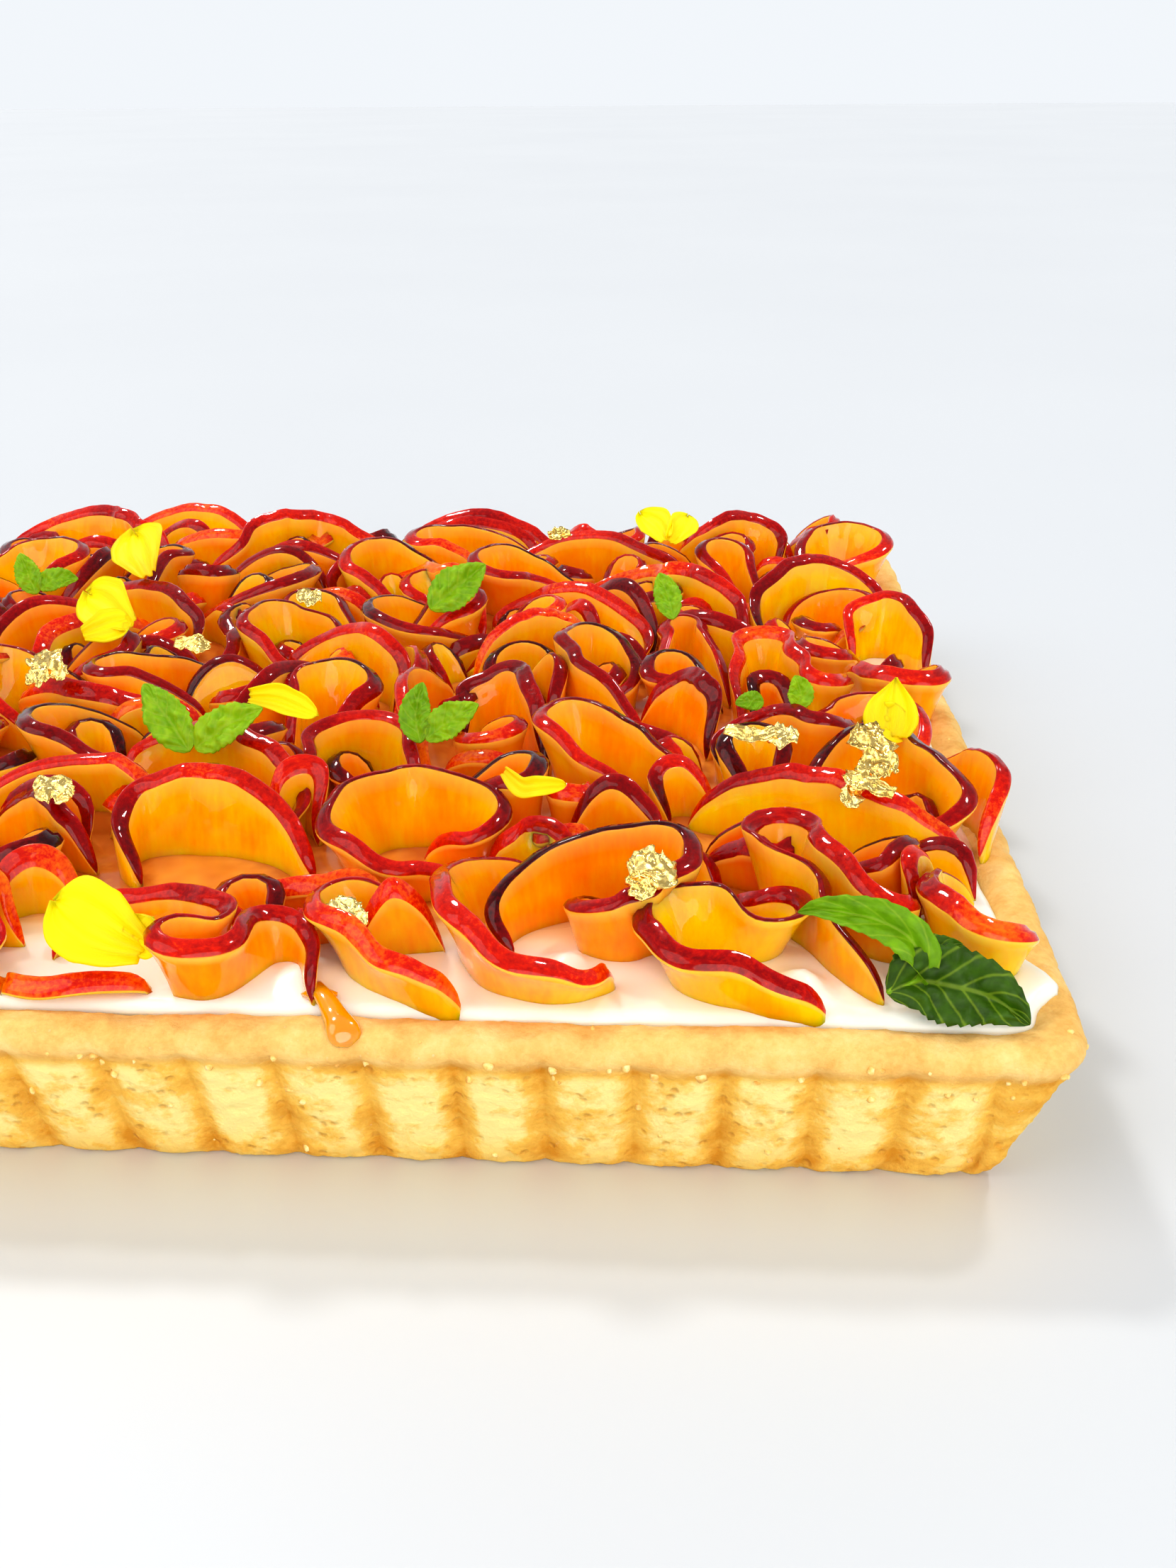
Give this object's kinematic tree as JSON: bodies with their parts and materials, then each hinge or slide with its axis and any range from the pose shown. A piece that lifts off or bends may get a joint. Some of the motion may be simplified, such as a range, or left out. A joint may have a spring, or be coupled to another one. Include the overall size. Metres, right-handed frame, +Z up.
{
  "type": "peach shortbread tart",
  "caption": "Square fluted shortbread tart, filled to the rim with cream and covered with thin curled peach slices, mint, petals and gold leaf.",
  "frame": {"origin": "middle of the base, on the surface that the tart stands on", "axes": "+Z up, X along the front edge, +Y from the front edge to the back"},
  "size_m": [0.23, 0.23, 0.044],
  "materials": {
    "crust": "matt baked shortbread, pale yellow with browner grooves",
    "cream": "soft ivory cream, half gloss",
    "peach": "wet glazed peach flesh with a red skin edge",
    "mint": "matt green herb leaf",
    "petal": "matt yellow flower petal",
    "gold_leaf": "crumpled edible metal leaf"
  },
  "bodies": {
    "root": {"crust": "crust", "cream": "cream", "peach_slice_01": "peach", "peach_slice_02": "peach", "peach_slice_03": "peach", "peach_slice_04": "peach", "peach_slice_05": "peach", "peach_slice_06": "peach", "peach_slice_07": "peach", "peach_slice_08": "peach", "peach_slice_09": "peach", "peach_slice_10": "peach", "peach_slice_11": "peach", "peach_slice_12": "peach", "peach_slice_13": "peach", "peach_slice_14": "peach", "peach_slice_15": "peach", "peach_slice_16": "peach", "peach_slice_17": "peach", "peach_slice_18": "peach", "peach_slice_19": "peach", "peach_slice_20": "peach", "peach_slice_21": "peach", "peach_slice_22": "peach", "peach_slice_23": "peach", "peach_slice_24": "peach", "peach_slice_25": "peach", "peach_slice_26": "peach", "peach_slice_27": "peach", "peach_slice_28": "peach", "peach_slice_29": "peach", "peach_slice_30": "peach", "peach_slice_31": "peach", "peach_slice_32": "peach", "peach_slice_33": "peach", "peach_slice_34": "peach", "peach_slice_35": "peach", "peach_slice_36": "peach", "peach_slice_37": "peach", "peach_slice_38": "peach", "peach_slice_39": "peach", "peach_slice_40": "peach", "peach_slice_41": "peach", "peach_slice_42": "peach", "peach_slice_43": "peach", "peach_slice_44": "peach", "peach_slice_45": "peach", "peach_slice_46": "peach", "peach_slice_47": "peach", "peach_slice_48": "peach", "peach_slice_49": "peach", "peach_slice_50": "peach", "peach_slice_51": "peach", "peach_slice_52": "peach", "peach_slice_53": "peach", "peach_slice_54": "peach", "peach_slice_55": "peach", "peach_slice_56": "peach", "peach_slice_57": "peach", "peach_slice_58": "peach"}
  },
  "joints": []
}
